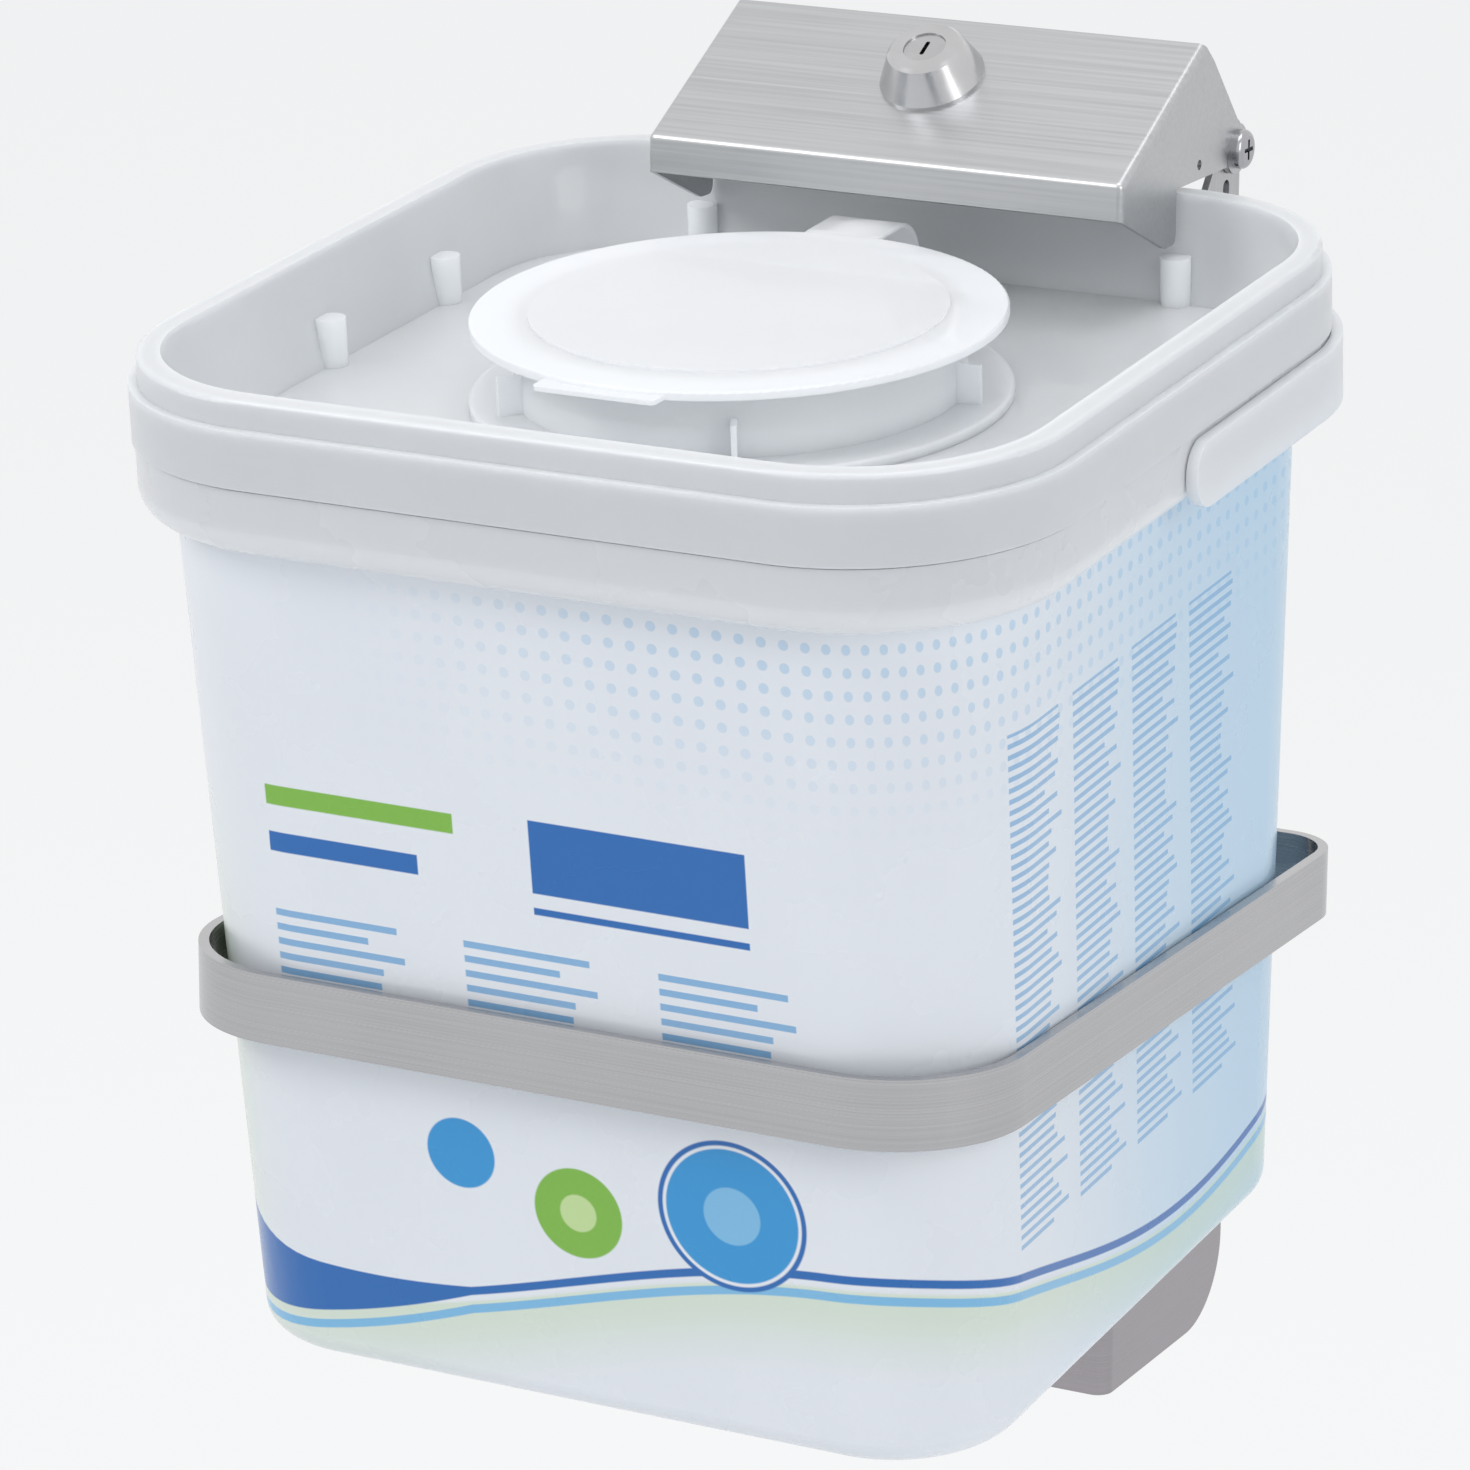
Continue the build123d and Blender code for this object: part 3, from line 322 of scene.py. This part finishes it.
ALONG_X = (6.0, 900.0, 900.0)
AROUND = (2.0, 2.0, 2200.0)
UPRIGHT = (900.0, 900.0, 8.0)
dress(["wall_bracket", "lock_keeper"], brushed_steel("bracket_steel", UPRIGHT))
dress(["ring_band"], brushed_steel("ring_steel", AROUND, roughness=0.24))
dress(["support_band", "shelf_plate"], brushed_steel("support_steel", AROUND, (0.36, 0.34, 0.36)))
dress(["locking_flap"], brushed_steel("flap_steel", ALONG_X, (0.49, 0.50, 0.51), 0.34))
dress(["hinge_screws", "hinge_nuts", "hinge_washers"], plated("screw_steel", (0.45, 0.45, 0.47), 0.2))
dress(["lock_housing", "lock_nut"], plated("lock_chrome"))
dress(["lock_plug"], plated("plug_chrome", (0.52, 0.52, 0.53), 0.2))
dress(["lock_cam", "cam_screw"], plated("cam_steel", (0.5, 0.5, 0.5), 0.3))
dress(["bucket"], printed_bucket())
dress(["lid_tray"], moulded_plastic("lid_plastic", (0.90, 0.92, 0.935)))
dress(["lid_seal"], moulded_plastic("seal_rubber", (0.75, 0.77, 0.78), 0.004, 0.3, 0.5))
dress(["dispensing_neck"], moulded_plastic("neck_plastic", (0.90, 0.92, 0.94)))
dress(["dispensing_membrane"], moulded_plastic("membrane_plastic", (0.78, 0.82, 0.85)))
dress(["cap"], moulded_plastic("cap_plastic", (0.90, 0.91, 0.93), roughness=0.34))
dress(["bail_handle"], moulded_plastic("handle_plastic", (0.88, 0.90, 0.92)))
dress(["wipes_roll", "wipe_tail"], wipe_cloth())
soften(["wall_bracket", "ring_band", "support_band", "locking_flap"], 0.0004)
soften(["cap", "bail_handle", "dispensing_neck"], 0.0005)


def bucket_point(across, back, up):
    """Shared-frame place of a point given in the bucket's leaning frame."""
    y = BUCKET_Y + cos(BUCKET_TILT) * back - sin(BUCKET_TILT) * up
    z = BUCKET_Z + sin(BUCKET_TILT) * back + cos(BUCKET_TILT) * up
    return Vector((across, y, z))


# Strap between cap and neck: drawn as its own strip, curled round from the flange to the cap
STRAP_LEFT = -0.018
STRAP_RIGHT = 0.005
STRAP_THICKNESS = 0.0014
STRAP_TOP = 0.2843
STRAP_BOTTOM = 0.2615
STRAP_CURL_BACK = 0.091
STRAP_STEPS = 24


def strap_path():
    """Middle line of the strap in the bucket's side view, from the flange to the cap."""
    radius = (STRAP_TOP - STRAP_BOTTOM) / 2
    middle = (STRAP_TOP + STRAP_BOTTOM) / 2
    path = [(0.0757, STRAP_BOTTOM), (0.083, STRAP_BOTTOM)]
    for step in range(STRAP_STEPS + 1):
        angle = radians(-90 + 180 * step / STRAP_STEPS)
        path.append((STRAP_CURL_BACK + radius * cos(angle), middle + radius * sin(angle)))
    for share in (0.25, 0.5, 0.75, 1.0):
        path.append((STRAP_CURL_BACK + (0.0751 - STRAP_CURL_BACK) * share, STRAP_TOP))
    return path


def build_strap():
    """Strip with a rectangular section that follows the strap's path."""
    path = strap_path()
    corners = []
    for index, (back, up) in enumerate(path):
        before = path[max(index - 1, 0)]
        after = path[min(index + 1, len(path) - 1)]
        run = Vector((after[0] - before[0], after[1] - before[1])).normalized()
        out = Vector((-run.y, run.x)) * STRAP_THICKNESS / 2
        for across in (STRAP_LEFT, STRAP_RIGHT):
            for sign in (1, -1):
                corners.append(bucket_point(across, back + sign * out.x, up + sign * out.y))
    faces = [(0, 1, 3, 2)]
    for index in range(len(path) - 1):
        a = 4 * index
        b = a + 4
        for first, second in ((0, 2), (2, 3), (3, 1), (1, 0)):
            faces.append((a + first, a + second, b + second, b + first))
    last = 4 * (len(path) - 1)
    faces.append((last, last + 2, last + 3, last + 1))
    mesh = bpy.data.meshes.new("strap")
    mesh.from_pydata(corners, [], faces)
    mesh.update()
    strap = bpy.data.objects.new("strap", mesh)
    bpy.context.scene.collection.objects.link(strap)
    mesh.materials.append(moulded_plastic("strap_plastic", (0.90, 0.91, 0.93)))
    for face in mesh.polygons:
        face.use_smooth = True
    rounding = strap.modifiers.new("edges", "BEVEL")
    rounding.width = 0.0003
    rounding.limit_method = "ANGLE"
    rounding.angle_limit = radians(50)
    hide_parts("cap_strap")
    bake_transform(strap)


build_strap()


# Studio: a pale floor that keeps a soft shadow, a white backdrop and soft area lights
FLOOR_SIZE = 8
FLOOR_LEVEL = -0.45
FLOOR_GLOW = 0.75
KEY_WATTS = 14
RIGHT_WATTS = 7
TOP_WATTS = 6


def background_share(tree):
    """One for rays that should meet the white backdrop: from the camera, or off metal and gloss."""
    path = tree.nodes.new("ShaderNodeLightPath")
    reflected = tree.nodes.new("ShaderNodeMath")
    reflected.operation = "MAXIMUM"
    tree.links.new(path.outputs["Is Glossy Ray"], reflected.inputs[0])
    tree.links.new(path.outputs["Is Transmission Ray"], reflected.inputs[1])
    either = tree.nodes.new("ShaderNodeMath")
    either.operation = "MAXIMUM"
    tree.links.new(path.outputs["Is Camera Ray"], either.inputs[0])
    tree.links.new(reflected.outputs[0], either.inputs[1])
    return either.outputs[0]


def pale_floor():
    bpy.ops.mesh.primitive_plane_add(size=FLOOR_SIZE, location=(0, 0, FLOOR_LEVEL))
    floor = bpy.context.object
    floor.name = "floor"
    material = bpy.data.materials.new("floor")
    material.use_nodes = True
    tree = material.node_tree
    tree.nodes.clear()
    output = tree.nodes.new("ShaderNodeOutputMaterial")
    mixer = tree.nodes.new("ShaderNodeMixShader")
    glow = tree.nodes.new("ShaderNodeMath")
    glow.operation = "MULTIPLY"
    glow.inputs[1].default_value = FLOOR_GLOW
    tree.links.new(background_share(tree), glow.inputs[0])
    matte = tree.nodes.new("ShaderNodeBsdfDiffuse")
    matte.inputs["Color"].default_value = (0.85, 0.86, 0.87, 1)
    white = tree.nodes.new("ShaderNodeEmission")
    white.inputs["Color"].default_value = (1, 1, 1, 1)
    tree.links.new(glow.outputs[0], mixer.inputs[0])
    tree.links.new(matte.outputs[0], mixer.inputs[1])
    tree.links.new(white.outputs[0], mixer.inputs[2])
    tree.links.new(mixer.outputs[0], output.inputs[0])
    floor.data.materials.append(material)


def studio_world():
    world = bpy.data.worlds.new("studio")
    bpy.context.scene.world = world
    world.use_nodes = True
    tree = world.node_tree
    background = tree.nodes["Background"]
    colour = tree.nodes.new("ShaderNodeMix")
    colour.data_type = "RGBA"
    colour.inputs[6].default_value = (0.56, 0.58, 0.61, 1)
    colour.inputs[7].default_value = (1, 1, 1, 1)
    tree.links.new(background_share(tree), colour.inputs[0])
    tree.links.new(colour.outputs[2], background.inputs["Color"])
    background.inputs["Strength"].default_value = 1.0


def soft_light(name, place, aim, size, watts):
    data = bpy.data.lights.new(name, "AREA")
    data.shape = "RECTANGLE"
    data.size, data.size_y = size
    data.energy = watts
    light = bpy.data.objects.new(name, data)
    light.location = place
    light.rotation_euler = (Vector(aim) - Vector(place)).to_track_quat("-Z", "Y").to_euler()
    bpy.context.scene.collection.objects.link(light)


pale_floor()
studio_world()
middle = (0.0, -0.16, 0.02)
soft_light("key", (-1.1, -1.5, 1.5), middle, (1.0, 1.0), KEY_WATTS)
soft_light("right", (1.7, -0.9, 0.7), middle, (0.7, 1.2), RIGHT_WATTS)
soft_light("top", (0.2, -0.3, 1.6), middle, (1.2, 0.8), TOP_WATTS)


# Camera
def photo_camera():
    away = Vector((
        sin(CAMERA_AZIMUTH) * cos(CAMERA_ELEVATION),
        -cos(CAMERA_AZIMUTH) * cos(CAMERA_ELEVATION),
        sin(CAMERA_ELEVATION),
    ))
    data = bpy.data.cameras.new("photo_camera")
    data.lens = CAMERA_LENS
    data.sensor_width = 36.0
    camera = bpy.data.objects.new("photo_camera", data)
    camera.location = CAMERA_TARGET + away * CAMERA_DISTANCE
    look = (-away).to_track_quat("-Z", "Y").to_matrix().to_4x4()
    look = look @ Euler((0, 0, CAMERA_ROLL)).to_matrix().to_4x4()
    camera.rotation_euler = look.to_euler()
    bpy.context.scene.collection.objects.link(camera)
    bpy.context.scene.camera = camera


photo_camera()
bpy.context.scene.view_settings.view_transform = "Standard"
